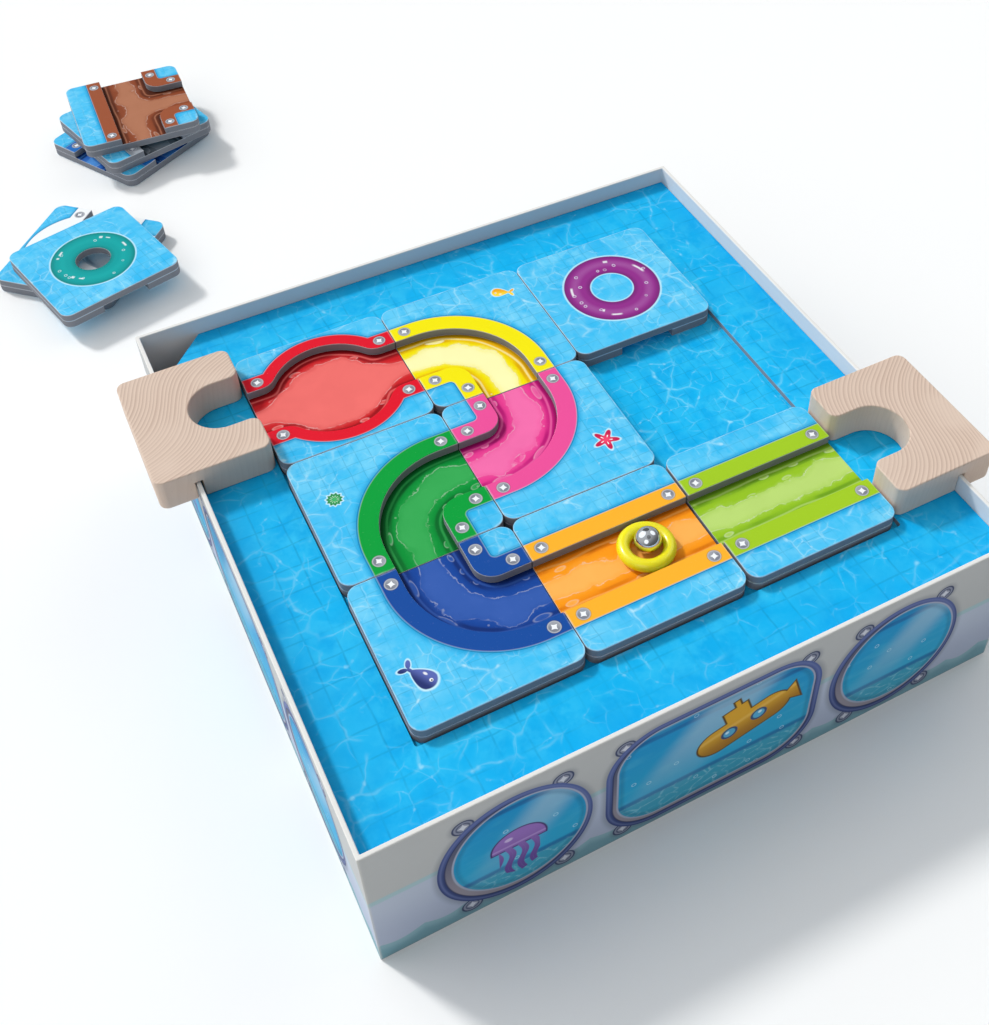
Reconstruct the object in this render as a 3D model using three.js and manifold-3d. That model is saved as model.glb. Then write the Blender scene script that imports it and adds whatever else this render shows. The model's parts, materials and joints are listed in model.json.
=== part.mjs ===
// Tilt maze game: a square open box whose printed insert holds a three by three field of
// square channel tiles. A steel ball in a plastic ring is tilted along the channels from a
// wooden start block to a wooden finish block, both sitting astride the box walls.
// Spare tiles lie in two piles on the table behind the box.
// Millimetres, +Z up, origin at the centre of the underside of the box. +Y is the back.

import * as THREE from 'three';
import { mergeVertices } from 'three/addons/utils/BufferGeometryUtils.js';
import Module from 'manifold-3d';

const wasm = await Module();
wasm.setup();

// ---------------------------------------------------------------- driving dimensions
const PITCH = 56.5;             // centre to centre of neighbouring tiles
const TILE = 56.2;              // side of a tile
const LAYER = 3.4;              // one board layer; a tile is two layers glued together
const TILE_CORNER = 4.2;        // corner radius of a tile
const CHANNEL = 21.4;           // width of a channel between its rails
const BEND_R = 31;              // channel side of the outer rail of a bend
const NOSE_R = 7;               // channel side of the inner corner piece of a bend
const POND_R = 21.8;            // round widening of the pond tile
const POND_LIP_R = 6.8;         // rounded lip where the pond meets the straight channel
const HOLE_R = 7.7;             // trap hole through the swim tile with a hole

const BOX_INNER = 222;          // inside of the square box
const BOX_WALL = 1.5;
const BOX_HEIGHT = 63;
const BOX_FLOOR = 1.5;

const BOARD = 2;                // thickness of the two insert boards
const POOL_TOP = 56.1;          // upper face of the pool board
const BOARD_SIDE = 221.6;       // insert boards, with a little play in the box
const WINDOW = 171;             // window of the pool board, holds the tile field
const WINDOW_X = 0.45;          // how far the window sits off the middle, to the right
const CUT_X = 20.6;             // finger gap: diagonal cut across the back left corner
const CUT_Y = 21.9;
const RISER_SIDE = 190;         // board ring that carries the insert boards
const RISER_WALL = 2;

const BLOCK_LENGTH = 39.8;      // wooden block, from its outer end to its prongs
const BLOCK_WIDTH = 52.2;
const BLOCK_HEIGHT = 12.6;
const BLOCK_CORNER = 3.2;
const SLOT_WIDTH = 22;          // round ended slot that takes the ring and the ball
const SLOT_DEPTH = 20.8;
const GROOVE_WIDTH = 2.5;       // saw kerf under the block that straddles the box wall
const GROOVE_DEPTH = 7.5;
const GROOVE_FROM_END = 13.85;

const RING_R = 7.5;             // swim ring: centre line radius and tube radius
const RING_TUBE = 2.2;
const BALL_R = 4.5;

const PLAY = 0.05;              // air under pieces that slide or lift off

// ---------------------------------------------------------------- colours
const colour = {
  box: 0xdfe3e8, insert: 0x12a9ee, water: 0x4cc4f4, wood: 0xdfc3b0, steel: 0xc9ccd0,
  ring: 0xf2e51c, red: 0xe8192c, yellow: 0xf6e500, green: 0x009f3c, pink: 0xef4f9b,
  blue: 0x144a9f, orange: 0xffb631, lime: 0xa2cc29, purple: 0x8e2f8f, teal: 0x00a79b,
  brown: 0x9a4f2e, grey: 0x82868c, navy: 0x1f4f9c, white: 0xf4f6f7, riser: 0x6a6d75,
};

function paint(hex, roughness, metalness = 0) {
  return new THREE.MeshStandardMaterial({ color: hex, roughness, metalness });
}

// ---------------------------------------------------------------- outlines
// An arc as points, from angle a to angle b in radians (b < a runs clockwise).
function arc(cx, cy, r, a, b) {
  const steps = Math.max(2, Math.ceil((Math.abs(b - a) * (6 + r * 0.35)) / (Math.PI / 2)));
  const points = [];
  for (let i = 0; i <= steps; i += 1) {
    const t = a + ((b - a) * i) / steps;
    points.push(new THREE.Vector2(cx + r * Math.cos(t), cy + r * Math.sin(t)));
  }
  return points;
}

// A closed outline through corners [x, y, radius]; each radius is a tangent fillet.
function rounded(corners) {
  const points = [];
  corners.forEach(([x, y, r], i) => {
    const p = new THREE.Vector2(x, y);
    if (!r) {
      points.push(p);
      return;
    }
    const before = corners[(i + corners.length - 1) % corners.length];
    const after = corners[(i + 1) % corners.length];
    const u = new THREE.Vector2(before[0], before[1]).sub(p).normalize();
    const v = new THREE.Vector2(after[0], after[1]).sub(p).normalize();
    const half = Math.acos(u.dot(v)) / 2;
    const centre = p.clone().addScaledVector(u.clone().add(v).normalize(), r / Math.sin(half));
    const from = p.clone().addScaledVector(u, r / Math.tan(half)).sub(centre);
    const to = p.clone().addScaledVector(v, r / Math.tan(half)).sub(centre);
    const a = Math.atan2(from.y, from.x);
    let turn = Math.atan2(to.y, to.x) - a;
    if (turn > Math.PI) turn -= 2 * Math.PI;
    if (turn < -Math.PI) turn += 2 * Math.PI;
    points.push(...arc(centre.x, centre.y, r, a, a + turn));
  });
  return points.filter((q, i) => q.distanceTo(points[(i + 1) % points.length]) > 1e-4);
}

function square(side, r) {
  const h = side / 2;
  return rounded([[-h, -h, r], [h, -h, r], [h, h, r], [-h, h, r]]);
}

function plate(points, z, thickness, holes = []) {
  const shape = new THREE.Shape(points);
  holes.forEach((hole) => shape.holes.push(new THREE.Path(hole)));
  const geometry = new THREE.ExtrudeGeometry(shape, { depth: thickness, bevelEnabled: false });
  return geometry.translate(0, 0, z);
}

function box(x0, x1, y0, y1, z0, z1) {
  const geometry = new THREE.BoxGeometry(x1 - x0, y1 - y0, z1 - z0);
  return geometry.translate((x0 + x1) / 2, (y0 + y1) / 2, (z0 + z1) / 2);
}

// ---------------------------------------------------------------- boolean cut
function toSolid(geometry) {
  const bare = geometry.clone();
  bare.deleteAttribute('normal');
  bare.deleteAttribute('uv');
  const merged = mergeVertices(bare, 1e-5);
  return new wasm.Manifold(new wasm.Mesh({
    numProp: 3,
    vertProperties: new Float32Array(merged.attributes.position.array),
    triVerts: new Uint32Array(merged.index.array),
  }));
}

function cut(geometry, tool) {
  const mesh = toSolid(geometry).subtract(toSolid(tool)).getMesh();
  const result = new THREE.BufferGeometry();
  result.setAttribute('position', new THREE.BufferAttribute(mesh.vertProperties, 3));
  result.setIndex(new THREE.BufferAttribute(mesh.triVerts, 1));
  result.computeVertexNormals();
  return result;
}

function piece(name, geometry, material) {
  const mesh = new THREE.Mesh(geometry, material);
  mesh.name = name;
  return mesh;
}

// ---------------------------------------------------------------- tile layers
const H = TILE / 2;
const C = CHANNEL / 2;

const basePlate = (z = 0, holes = []) => plate(square(TILE, TILE_CORNER), z, LAYER, holes);

// A straight rail along X on the +Y side of the channel.
function straightRail(z = LAYER) {
  return plate(rounded([[-H, C, 0], [H, C, 0], [H, H, TILE_CORNER], [-H, H, TILE_CORNER]]), z, LAYER);
}

// The two rails of a bend, drawn with the inner corner at the lower left of the tile.
function outerRail(z = LAYER) {
  return plate(rounded([
    [C, -H, 0], [H, -H, TILE_CORNER], [H, H, TILE_CORNER], [-H, H, TILE_CORNER],
    [-H, C, 0], [C, C, BEND_R],
  ]), z, LAYER);
}

function cornerRail(z = LAYER) {
  return plate(rounded([[-H, -H, TILE_CORNER], [-C, -H, 0], [-C, -C, NOSE_R], [-H, -C, 0]]), z, LAYER);
}

// The rail of the pond tile: a straight rail hollowed out round the middle of the tile.
function pondRail(z = LAYER) {
  const lipY = C + POND_LIP_R;
  const lipX = Math.sqrt((POND_R + POND_LIP_R) ** 2 - lipY ** 2);
  const lean = Math.atan2(lipY, lipX);
  const q = Math.PI / 2;
  return plate([
    ...arc(H - TILE_CORNER, H - TILE_CORNER, TILE_CORNER, 0, q),
    ...arc(-H + TILE_CORNER, H - TILE_CORNER, TILE_CORNER, q, 2 * q),
    new THREE.Vector2(-H, C),
    ...arc(-lipX, lipY, POND_LIP_R, -q, -lean),
    ...arc(0, 0, POND_R, Math.PI - lean, lean).slice(1, -1),
    ...arc(lipX, lipY, POND_LIP_R, Math.PI + lean, 3 * q),
    new THREE.Vector2(H, C),
  ], z, LAYER);
}

const turned = (geometry, quarterTurns) => geometry.rotateZ((quarterTurns * Math.PI) / 2);

// ---------------------------------------------------------------- tiles
function tile(x, y, z, degrees, meshes) {
  const group = new THREE.Group();
  group.position.set(x, y, z);
  group.rotation.z = (degrees * Math.PI) / 180;
  meshes.forEach((mesh) => group.add(mesh));
  return group;
}

function straightTile(name, hex, quarterTurns, sides) {
  const board = paint(hex, 0.55);
  return [
    piece(`${name}_base`, basePlate(), board),
    piece(`${name}_rail_${sides[0]}`, turned(straightRail(), quarterTurns), board),
    piece(`${name}_rail_${sides[1]}`, turned(straightRail(), quarterTurns + 2), board),
  ];
}

function bendTile(name, hex, quarterTurns) {
  const board = paint(hex, 0.55);
  return [
    piece(`${name}_base`, basePlate(), board),
    piece(`${name}_rail_outer`, turned(outerRail(), quarterTurns), board),
    piece(`${name}_rail_corner`, turned(cornerRail(), quarterTurns), board),
  ];
}

// A swim tile lies face down: its plain side shows, its two rails are underneath.
function swimTile(name, hex, holes) {
  const board = paint(hex, 0.55);
  return [
    piece(`${name}_face`, basePlate(LAYER, holes), board),
    piece(`${name}_rail_left`, turned(straightRail(0), 1), board),
    piece(`${name}_rail_right`, turned(straightRail(0), 3), board),
  ];
}

function pondTile(name, hex) {
  const board = paint(hex, 0.55);
  return [
    piece(`${name}_base`, basePlate(), board),
    piece(`${name}_rail_back`, pondRail(), board),
    piece(`${name}_rail_front`, turned(pondRail(), 2), board),
  ];
}

function junctionTile(name, hex) {
  const board = paint(hex, 0.55);
  return [
    piece(`${name}_base`, basePlate(), board),
    piece(`${name}_rail_left`, turned(straightRail(), 1), board),
    piece(`${name}_corner_back`, turned(cornerRail(), 2), board),
    piece(`${name}_corner_front`, turned(cornerRail(), 1), board),
  ];
}

// Quarter turns of a bend: the inner corner is front left at 0, front right at 1,
// back right at 2 and back left at 3.
const FIELD_Z = POOL_TOP - BOARD;
const field = [
  tile(-PITCH, PITCH, FIELD_Z, 0, pondTile('red_pond', colour.red)),
  tile(0, PITCH, FIELD_Z, 0, bendTile('yellow_bend', colour.yellow, 0)),
  tile(PITCH, PITCH, FIELD_Z, 0, swimTile('purple_swim', colour.purple, [])),
  tile(-PITCH, 0, FIELD_Z, 0, bendTile('green_bend', colour.green, 1)),
  tile(0, 0, FIELD_Z, 0, bendTile('pink_bend', colour.pink, 3)),
  tile(-PITCH, -PITCH, FIELD_Z, 0, bendTile('blue_bend', colour.blue, 2)),
  tile(0, -PITCH, FIELD_Z, 0, straightTile('orange_straight', colour.orange, 0, ['back', 'front'])),
  tile(PITCH + 0.6, -PITCH, FIELD_Z, 0, straightTile('lime_straight', colour.lime, 0, ['back', 'front'])),
];

const LEVEL = 2 * LAYER + 0.02; // height of one tile in a pile
const trapHole = arc(0, 0, HOLE_R, 2 * Math.PI, 0).slice(1);
const piles = [
  tile(-71.2, 330.6, 0, 30, bendTile('navy_bend', colour.navy, 0)),
  tile(-68, 330.9, LEVEL, 15.5, straightTile('grey_straight', colour.grey, 1, ['left', 'right'])),
  tile(-67.2, 333, 2 * LEVEL, -2.6, junctionTile('brown_junction', colour.brown)),
  tile(-115.2, 247, 0, 47.5, bendTile('white_bend', colour.white, 1)),
  tile(-112.4, 229.5, LEVEL, 14.5, swimTile('teal_swim', colour.teal, [trapHole])),
];

// ---------------------------------------------------------------- box and insert
const OUT = BOX_INNER / 2 + BOX_WALL;
const IN = BOX_INNER / 2;
const boxTray = piece('box_tray', cut(
  box(-OUT, OUT, -OUT, OUT, 0, BOX_HEIGHT),
  box(-IN, IN, -IN, IN, BOX_FLOOR, BOX_HEIGHT + 1),
), paint(colour.box, 0.6));

// The insert boards share one outline: a square without its back left corner.
function insertOutline() {
  const h = BOARD_SIDE / 2;
  return rounded([[-h, -h, 0], [h, -h, 0], [h, h, 0], [CUT_X - IN, h, 0], [-h, IN - CUT_Y, 0]]);
}

function windowOutline() {
  const h = WINDOW / 2;
  return rounded([
    [WINDOW_X - h, -h, 1], [WINDOW_X + h, -h, 1], [WINDOW_X + h, h, 1], [WINDOW_X - h, h, 1],
  ]);
}

const poolBoard = piece('pool_board', plate(
  insertOutline(), POOL_TOP - BOARD, BOARD, [windowOutline().reverse()],
), paint(colour.insert, 0.5));
const recessFloor = piece('recess_floor', plate(
  insertOutline(), POOL_TOP - 2 * BOARD, BOARD,
), paint(colour.insert, 0.5));
const riserHeight = POOL_TOP - 2 * BOARD - BOX_FLOOR;
const insertRiser = piece('insert_riser', plate(
  square(RISER_SIDE, 0), BOX_FLOOR, riserHeight, [square(RISER_SIDE - 2 * RISER_WALL, 0).reverse()],
), paint(colour.riser, 0.8));

// ---------------------------------------------------------------- wooden blocks
// Drawn with the outer end at x = 0 and the prongs towards +X.
function blockGeometry() {
  const w = BLOCK_WIDTH / 2;
  const s = SLOT_WIDTH / 2;
  const end = BLOCK_LENGTH - SLOT_DEPTH;
  const body = plate(rounded([
    [0, -w, BLOCK_CORNER], [BLOCK_LENGTH, -w, BLOCK_CORNER], [BLOCK_LENGTH, -s, BLOCK_CORNER],
    [end, -s, s], [end, s, s],
    [BLOCK_LENGTH, s, BLOCK_CORNER], [BLOCK_LENGTH, w, BLOCK_CORNER], [0, w, BLOCK_CORNER],
  ]), 0, BLOCK_HEIGHT);
  const kerf = box(
    GROOVE_FROM_END - GROOVE_WIDTH / 2, GROOVE_FROM_END + GROOVE_WIDTH / 2,
    -w - 1, w + 1, -1, GROOVE_DEPTH,
  );
  return cut(body, kerf);
}

const beech = paint(colour.wood, 0.6);
const startBlock = piece('start_block', blockGeometry(), beech);
startBlock.position.set(-125.4, 58.6, POOL_TOP + PLAY);
const finishBlock = piece('finish_block', blockGeometry(), beech);
finishBlock.rotation.z = Math.PI;
finishBlock.position.set(125.8, -56.2, POOL_TOP + PLAY);

// ---------------------------------------------------------------- ring and ball
const CHANNEL_FLOOR = FIELD_Z + LAYER;
const swimRing = piece('swim_ring', new THREE.TorusGeometry(RING_R, RING_TUBE, 16, 48), paint(colour.ring, 0.3));
swimRing.position.set(6.8, -56.8, CHANNEL_FLOOR + PLAY + RING_TUBE);
const steelBall = piece('steel_ball', new THREE.SphereGeometry(BALL_R, 32, 18), paint(colour.steel, 0.15, 1));
steelBall.rotation.x = Math.PI / 2;
steelBall.position.set(7.5, -56.2, CHANNEL_FLOOR + PLAY + BALL_R);

// ---------------------------------------------------------------- assembly
const game = new THREE.Group();
[boxTray, insertRiser, recessFloor, poolBoard].forEach((mesh) => game.add(mesh));
[...field, ...piles].forEach((group) => game.add(group));
[startBlock, finishBlock, swimRing, steelBall].forEach((mesh) => game.add(mesh));

export default game;
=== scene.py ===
import json
import math

import bmesh
import bpy
from mathutils import Matrix, Vector

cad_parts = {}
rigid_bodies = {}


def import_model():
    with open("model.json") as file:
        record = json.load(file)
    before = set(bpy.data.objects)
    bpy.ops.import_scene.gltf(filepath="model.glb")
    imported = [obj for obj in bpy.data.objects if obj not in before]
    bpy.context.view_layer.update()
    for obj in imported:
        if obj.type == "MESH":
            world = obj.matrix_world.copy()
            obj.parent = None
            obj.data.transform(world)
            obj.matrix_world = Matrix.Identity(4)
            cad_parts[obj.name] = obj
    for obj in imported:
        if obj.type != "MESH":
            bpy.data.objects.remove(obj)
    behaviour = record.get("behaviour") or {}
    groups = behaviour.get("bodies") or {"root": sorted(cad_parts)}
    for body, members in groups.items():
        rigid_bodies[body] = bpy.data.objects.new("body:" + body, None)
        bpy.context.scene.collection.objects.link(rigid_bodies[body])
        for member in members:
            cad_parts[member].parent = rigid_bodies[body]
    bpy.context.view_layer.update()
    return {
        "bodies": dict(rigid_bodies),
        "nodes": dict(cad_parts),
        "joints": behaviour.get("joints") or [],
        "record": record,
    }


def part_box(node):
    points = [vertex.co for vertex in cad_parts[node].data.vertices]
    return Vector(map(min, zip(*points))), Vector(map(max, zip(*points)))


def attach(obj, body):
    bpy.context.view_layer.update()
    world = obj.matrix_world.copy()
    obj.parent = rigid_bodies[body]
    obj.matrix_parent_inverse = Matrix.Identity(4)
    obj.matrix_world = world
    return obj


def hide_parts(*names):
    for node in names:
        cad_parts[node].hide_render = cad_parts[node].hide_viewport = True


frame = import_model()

NODES = frame["nodes"]

# ---------------------------------------------------------------- sizes, in millimetres
PITCH = 56.5          # centre to centre of neighbouring tiles
HALF = PITCH / 2
CHANNEL = 10.7        # half width of a channel
BAND = 17.5           # outer edge of the coloured band, from the middle of a straight tile
BEND = 7.9            # centre of a bend's arcs, from its inner corner
BEND_OUT = 37.9       # outer edge of a bend's coloured band, from that centre
MID = 20.4            # middle of the channel in a bend, from that centre
POND = 21.8           # radius of the pond
POND_BAND = 26.6      # outer edge of its coloured band
NOTCH = 10.7          # side of the small water square on an inner corner piece
NOTCH_CORNER = 2.0    # its corner radius
SCREW_IN = 14.2       # screws on a straight rail, from the middle line
SCREW_ALONG = 23.3    # and along it
SCREW_END = 5.0       # screws on a bend, from the tile's side
SCREW_NEAR = 13.9     # from the other side, on the inner corner piece
SCREW_STEP = 28.6     # and how much further on the outer rail
FIELD_Z = 54.1        # underside of the tiles lying in the box
LEVEL = 6.82          # height of one tile in a pile
GLUE_LINE = 3.4       # between a tile's two boards
WALL_OUT = 112.5      # outside of the box walls

WINDOW_X = 67.3       # middle of the side windows on a wall
WINDOW_Z = 29.9       # middle of every window
WINDOW_TALL = 27.5    # half height
OVAL_WIDE = 24.9      # half width of a side window
LONG_WIDE = 38.0      # half width of the middle window
LONG_CORNER = 18.5    # its corner radius
BETWEEN = 41.0        # nearer to the middle than this belongs to the middle window
BLOCK_TOP = 68.75     # upper face of the wooden blocks
FAR = 90.0            # further than anything on a tile


# ---------------------------------------------------------------- a small language for node trees
def lin(code):
    """A hex colour as linear RGBA."""
    out = []
    for i in (0, 2, 4):
        c = int(code[i:i + 2], 16) / 255
        out.append(c / 12.92 if c <= 0.04045 else ((c + 0.055) / 1.055) ** 2.4)
    return (*out, 1.0)


def tint(colour, factor, lift=0.0):
    """The colour times a factor, plus a lift, kept at 1 or less."""
    return tuple(min(1.0, c * factor + lift) for c in colour[:3]) + (1,)


class Val:
    """A number in a node tree, with arithmetic."""

    def __init__(self, net, socket):
        self.net, self.socket = net, socket

    def __add__(self, other): return self.net.math("ADD", self, other)
    def __radd__(self, other): return self.net.math("ADD", other, self)
    def __sub__(self, other): return self.net.math("SUBTRACT", self, other)
    def __rsub__(self, other): return self.net.math("SUBTRACT", other, self)
    def __mul__(self, other): return self.net.math("MULTIPLY", self, other)
    def __rmul__(self, other): return self.net.math("MULTIPLY", other, self)
    def __truediv__(self, other): return self.net.math("DIVIDE", self, other)
    def __neg__(self): return self.net.math("MULTIPLY", self, -1.0)
    def __abs__(self): return self.net.math("ABSOLUTE", self)


class Net:
    """A material under construction."""

    def __init__(self, name):
        self.mat = bpy.data.materials.new(name)
        self.mat.use_nodes = True
        self.tree = self.mat.node_tree
        self.tree.nodes.clear()
        self.coords = self.node("ShaderNodeTexCoord").outputs["Object"]

    def node(self, kind, **settings):
        made = self.tree.nodes.new(kind)
        for key, value in settings.items():
            setattr(made, key, value)
        return made

    def feed(self, value, socket):
        if isinstance(value, Val):
            self.tree.links.new(value.socket, socket)
        elif isinstance(value, bpy.types.NodeSocket):
            self.tree.links.new(value, socket)
        else:
            socket.default_value = value

    def math(self, operation, *values):
        made = self.node("ShaderNodeMath", operation=operation)
        for value, socket in zip(values, made.inputs):
            self.feed(value, socket)
        return Val(self, made.outputs[0])

    def low(self, a, b): return self.math("MINIMUM", a, b)
    def high(self, a, b): return self.math("MAXIMUM", a, b)
    def power(self, a, b): return self.math("POWER", a, b)
    def sin(self, a): return self.math("SINE", a)
    def length(self, a, b): return self.math("SQRT", a * a + b * b)

    def ramp(self, x, start, end):
        """0 at start, 1 at end, smooth between."""
        made = self.node("ShaderNodeMapRange", interpolation_type="SMOOTHSTEP")
        self.feed(x, made.inputs["Value"])
        self.feed(start, made.inputs["From Min"])
        self.feed(end, made.inputs["From Max"])
        return Val(self, made.outputs["Result"])

    def inside(self, distance, soft=0.12):
        """1 where a signed distance is negative."""
        return self.ramp(distance, soft, -soft)

    def line(self, distance, width, soft=0.12):
        """1 on the outline of a signed distance."""
        return self.inside(abs(distance) - width / 2, soft)

    def place(self, x=0.0, y=0.0, z=0.0, turn=0.0, scale=0.001):
        """Object coordinates in millimetres from a point, turned about Z by so many degrees."""
        made = self.node("ShaderNodeMapping", vector_type="TEXTURE")
        self.feed(self.coords, made.inputs["Vector"])
        made.inputs["Location"].default_value = (x * 0.001, y * 0.001, z * 0.001)
        made.inputs["Rotation"].default_value = (0, 0, math.radians(turn))
        made.inputs["Scale"].default_value = (scale,) * 3
        return made.outputs["Vector"]

    def split(self, vector):
        made = self.node("ShaderNodeSeparateXYZ")
        self.feed(vector, made.inputs[0])
        return [Val(self, s) for s in made.outputs]

    def join(self, x, y, z=0.0):
        made = self.node("ShaderNodeCombineXYZ")
        for value, socket in zip((x, y, z), made.inputs):
            self.feed(value, socket)
        return made.outputs[0]

    def noise(self, vector, size, detail=2.0, rough=0.5, seed=0.0):
        """Noise of 0 to 1 with features about size millimetres across."""
        made = self.node("ShaderNodeTexNoise", noise_dimensions="4D")
        self.feed(vector, made.inputs["Vector"])
        made.inputs["W"].default_value = seed
        made.inputs["Scale"].default_value = 1.0 / size
        made.inputs["Detail"].default_value = detail
        made.inputs["Roughness"].default_value = rough
        return made

    def rand(self, vector, size, detail=2.0, rough=0.5, seed=0.0):
        return Val(self, self.noise(vector, size, detail, rough, seed).outputs[0])

    def warp(self, vector, size, amount, seed=0.0):
        """The vector pushed about by noise."""
        push = self.node("ShaderNodeVectorMath", operation="MULTIPLY_ADD")
        self.feed(self.noise(vector, size, 1.0, 0.5, seed).outputs[1], push.inputs[0])
        push.inputs[1].default_value = (2 * amount,) * 3
        shift = self.node("ShaderNodeVectorMath", operation="SUBTRACT")
        self.feed(vector, shift.inputs[0])
        shift.inputs[1].default_value = (amount,) * 3
        self.feed(shift.outputs[0], push.inputs[2])
        return push.outputs[0]

    def cells(self, vector, size, feature="DISTANCE_TO_EDGE", flat=True, jitter=1.0):
        made = self.node("ShaderNodeTexVoronoi", feature=feature,
                         voronoi_dimensions="2D" if flat else "3D")
        self.feed(vector, made.inputs["Vector"])
        made.inputs["Scale"].default_value = 1.0 / size
        made.inputs["Randomness"].default_value = jitter
        return made

    def mix(self, factor, a, b):
        made = self.node("ShaderNodeMix", data_type="RGBA")
        self.feed(factor, made.inputs[0])
        self.feed(a, made.inputs[6])
        self.feed(b, made.inputs[7])
        return made.outputs[2]

    def bump(self, height, distance, strength=1.0):
        made = self.node("ShaderNodeBump")
        self.feed(height, made.inputs["Height"])
        made.inputs["Distance"].default_value = distance * 0.001
        made.inputs["Strength"].default_value = strength
        return made.outputs[0]

    def finish(self, colour, roughness, normal=None, **fixed):
        shader = self.node("ShaderNodeBsdfPrincipled")
        self.feed(colour, shader.inputs["Base Color"])
        self.feed(roughness, shader.inputs["Roughness"])
        if normal is not None:
            self.feed(normal, shader.inputs["Normal"])
        for key, value in fixed.items():
            shader.inputs[key.replace("_", " ")].default_value = value
        out = self.node("ShaderNodeOutputMaterial")
        self.tree.links.new(shader.outputs[0], out.inputs[0])
        return self.mat

    def printed(self, colour, p, rough, size, spread):
        """Finish as printed paper, a little uneven in its gloss."""
        uneven = rough + self.rand(p, size, 3.0, 0.6, 1.0) * spread
        return self.finish(colour, uneven, paper(self, p), Specular_IOR_Level=PRINT_SHINE)


# ---------------------------------------------------------------- printed water
def water(net, p, base, light, pale, dark,
          cell=10.0, strength=1.0, grid=4.6, seed=0.0, crisp=1.0):
    """Pool water seen from above: soft patches, a net of bright lines, the pool's own tiling."""
    soft = net.warp(p, 15.0, 3.6, seed)
    bent = net.warp(soft, 4.2, 0.8, seed + 3.0)
    broad = net.ramp(net.rand(soft, 24.0, 2.0, 0.5, seed + 1.0), 0.36, 0.64)
    patch = net.ramp(net.rand(bent, 7.0, 3.0, 0.65, seed + 2.0), 0.36, 0.68)
    depth = net.ramp(net.rand(soft, 13.0, 2.0, 0.5, seed + 8.0), 0.42, 0.66)
    colour = net.mix(depth * 0.55, base, dark)
    colour = net.mix(patch * (0.25 + 0.55 * broad), colour, light)
    # the pool's tiles, bent by the waves
    x, y, _ = net.split(net.warp(net.warp(p, 13.0, 0.9, seed + 4.0), 3.2, 0.22, seed + 5.0))
    joints = None
    for value in (x, y):
        mark = net.ramp(abs(net.math("FRACT", value / grid + 80.0) - 0.5), 0.445, 0.492)
        joints = mark if joints is None else net.high(joints, mark)
    here = net.ramp(net.rand(p, 16.0, 2.0, 0.6, seed + 6.0), 0.40, 0.58)
    single = net.node("ShaderNodeTexWhiteNoise", noise_dimensions="2D")
    row, column = net.math("FLOOR", x / grid), net.math("FLOOR", y / grid)
    net.feed(net.join(row, column), single.inputs["Vector"])
    pick = net.ramp(Val(net, single.outputs["Value"]), 0.55, 0.95)
    colour = net.mix(pick * here * 0.30, colour, light)
    colour = net.mix(joints * (0.08 + 0.26 * here), colour, tint(dark, 0.55))
    # bright nets of two sizes; they swell and fade along the way, with sparks here and there
    for size, swell, key, amount in ((cell, 0.24, 11.0, 1.0), (cell * 0.55, 0.22, 17.0, 0.7)):
        lines = net.cells(net.warp(bent, 6.5, 1.7, seed + key), size)
        edge = Val(net, lines.outputs["Distance"])
        fade = net.ramp(net.rand(p, size * 1.4, 2.0, 0.6, seed + key + 1.0), 0.40, 0.68)
        thick = net.power(net.rand(p, size * 0.45, 1.0, 0.5, seed + key + 2.0), 2.0)
        glow = net.power(net.ramp(edge, swell, 0.0), 2.4) * fade
        core = net.ramp(edge, 0.015 + 0.15 * thick, 0.0) * net.ramp(fade, 0.2, 1.0)
        point = net.ramp(net.rand(p, size * 0.28, 1.0, 0.5, seed + key + 3.0), 0.60, 0.76)
        spark = net.ramp(edge, 0.10, 0.0) * point * net.ramp(fade, 0.1, 0.7)
        share = amount * strength
        colour = net.mix(glow * (0.40 * share * (2.0 - crisp)), colour, light)
        colour = net.mix(core * (0.30 * share * crisp), colour, pale)
        colour = net.mix(spark * (0.55 * share), colour, pale)
    return colour


PRINT_SHINE = 0.10
TILE_WATER = (lin("40c0f3"), lin("7cd6f8"), lin("cdf0fc"), lin("1cb1ee"))
POOL_WATER = (lin("09b4f0"), lin("34c4f4"), lin("aee8fb"), lin("02a4e6"))


def paper(net, p, height=0.015, size=0.5):
    """The slight tooth of coated paper on board."""
    fibre = net.rand(p, size, 3.0, 0.65, 2.0) + net.rand(p, 9.0, 1.0, 0.5, 6.0) * 0.8
    return net.bump(fibre, height, 0.6)


# ---------------------------------------------------------------- printed details
def screw(net, dx, dy, turn, colour, band):
    """A printed round screw head with a pinched cross, centred where dx and dy are zero."""
    d = net.length(dx, dy)
    c, s = math.cos(turn), math.sin(turn)
    x, y = abs(dx * c + dy * s), abs(dy * c - dx * s)
    star = net.power(x + 0.0001, 0.68) + net.power(y + 0.0001, 0.68) - 1.32
    colour = net.mix(net.inside(d - 2.45, 0.14) * 0.70, colour, tint(band, 0.45, 0.03))
    colour = net.mix(net.inside(d - 2.22, 0.12), colour, lin("b4b7bf"))
    colour = net.mix(net.inside(d - 1.84, 0.14), colour, lin("7f838f"))
    colour = net.mix(net.ramp(dx + dy * 1.3, 2.0, -2.4) * net.inside(d - 1.84, 0.14) * 0.40,
                     colour, lin("c4c8d0"))
    colour = net.mix(net.inside(star - 0.16, 0.14) * 0.4, colour, lin("5d616c"))
    return net.mix(net.inside(star, 0.13), colour, lin("f4f7fb"))


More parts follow.
